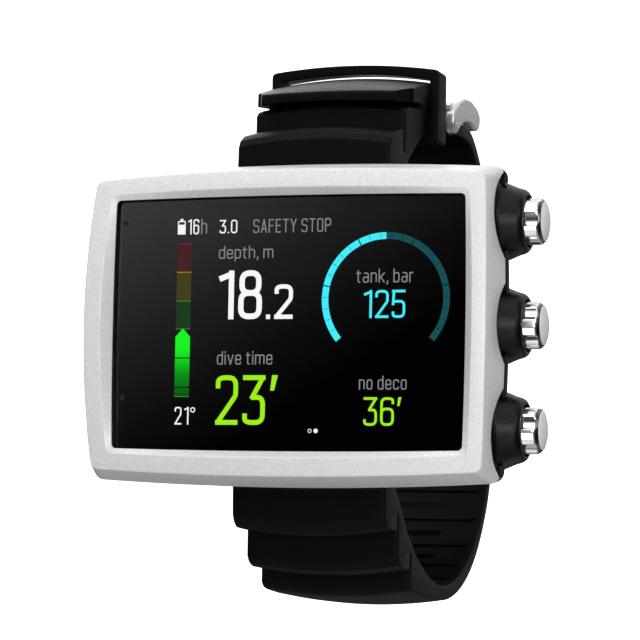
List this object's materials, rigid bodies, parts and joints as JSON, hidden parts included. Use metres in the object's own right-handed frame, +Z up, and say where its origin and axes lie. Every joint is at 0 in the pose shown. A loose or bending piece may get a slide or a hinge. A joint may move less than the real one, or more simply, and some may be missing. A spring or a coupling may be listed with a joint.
{
  "type": "dive computer",
  "caption": "Wrist dive computer: wide colour display in a white bezel, fluted side buttons in turrets, and a hinged rubber strap with keeper and buckle.",
  "frame": {"origin": "centre of the case's flat back face, on the back cover", "axes": "+X towards the buttons, +Y from the case back into the wrist, +Z up the display"},
  "size_m": [0.088, 0.0983, 0.1065],
  "materials": {
    "white_coat": "white satin coat with fine pearl specks",
    "clear_glass": "polished, clear over a black surround",
    "black_rubber": "satin moulded",
    "black_composite": "fine moulded grain",
    "screen": "lit display panel",
    "dark_plastic": "moulded",
    "foil_metal": "satin sheet",
    "board_green": "solder mask",
    "brass_sheet": "satin",
    "plain_steel": "brushed",
    "polished_chrome": "polished",
    "spring_steel": "drawn wire",
    "ferrite": "sintered block",
    "gold_plate": "plated, satin"
  },
  "bodies": {
    "case": {"bezel": "white_coat", "display_glass": "clear_glass", "glass_gasket": "black_rubber", "case_body": "black_composite", "lcd_panel": "screen", "light_sensor_upper": "dark_plastic", "light_sensor_lower": "dark_plastic", "display_frame": "foil_metal", "circuit_board": "board_green", "shield_can": "foil_metal", "battery": "foil_metal", "buzzer": "brass_sheet", "vibration_motor": "plain_steel", "link_antenna": "ferrite", "pressure_sensor": "plain_steel", "sensor_grille": "black_composite", "back_cover": "black_composite", "cover_gasket": "black_rubber", "cover_screw_1": "plain_steel", "cover_screw_2": "plain_steel", "cover_screw_3": "plain_steel", "cover_screw_4": "plain_steel", "charge_contact_1": "gold_plate", "charge_contact_2": "gold_plate", "charge_contact_3": "gold_plate", "button_seal_1": "black_rubber", "button_spring_1": "spring_steel", "button_switch_1": "dark_plastic", "button_seal_2": "black_rubber", "button_spring_2": "spring_steel", "button_switch_2": "dark_plastic", "button_seal_3": "black_rubber", "button_spring_3": "spring_steel", "button_switch_3": "dark_plastic", "strap_pin_upper": "plain_steel", "strap_pin_lower": "plain_steel"},
    "upper_strap": {"upper_strap": "black_rubber"},
    "keeper": {"strap_keeper": "black_rubber"},
    "buckle": {"buckle_frame": "plain_steel", "buckle_pin": "plain_steel"},
    "tongue": {"buckle_tongue": "plain_steel"},
    "lower_strap": {"lower_strap": "black_rubber"},
    "button_1": {"button_cap_1": "polished_chrome", "button_stem_1": "plain_steel", "button_clip_1": "spring_steel"},
    "button_2": {"button_cap_2": "polished_chrome", "button_stem_2": "plain_steel", "button_clip_2": "spring_steel"},
    "button_3": {"button_cap_3": "polished_chrome", "button_stem_3": "plain_steel", "button_clip_3": "spring_steel"}
  },
  "joints": [
    {"name": "upper_strap_swing", "type": "hinge", "parent": "case", "child": "upper_strap", "pos_m": [0, -0.0034, 0.0265], "axis": [1, 0, 0], "range_deg": [0, 45]},
    {"name": "lower_strap_swing", "type": "hinge", "parent": "case", "child": "lower_strap", "pos_m": [0, -0.0034, -0.0265], "axis": [-1, 0, 0], "range_deg": [0, 45]},
    {"name": "keeper_slide", "type": "slide", "parent": "upper_strap", "child": "keeper", "axis": [0, 1, 0], "range_m": [0, 0.0012]},
    {"name": "buckle_swing", "type": "hinge", "parent": "upper_strap", "child": "buckle", "pos_m": [0, 0.0316, 0.0435], "axis": [1, 0, 0], "range_deg": [0, 35]},
    {"name": "tongue_swing", "type": "hinge", "parent": "buckle", "child": "tongue", "pos_m": [0, 0.0316, 0.0435], "axis": [1, 0, 0], "range_deg": [0, 20]},
    {"name": "button_1_press", "type": "slide", "parent": "case", "child": "button_1", "axis": [-1, 0, 0], "range_m": [0, 0.001], "stiffness_N_per_m": 2000, "deforming": ["button_spring_1"]},
    {"name": "button_2_press", "type": "slide", "parent": "case", "child": "button_2", "axis": [-1, 0, 0], "range_m": [0, 0.001], "stiffness_N_per_m": 2000, "deforming": ["button_spring_2"]},
    {"name": "button_3_press", "type": "slide", "parent": "case", "child": "button_3", "axis": [-1, 0, 0], "range_m": [0, 0.001], "stiffness_N_per_m": 2000, "deforming": ["button_spring_3"]}
  ]
}
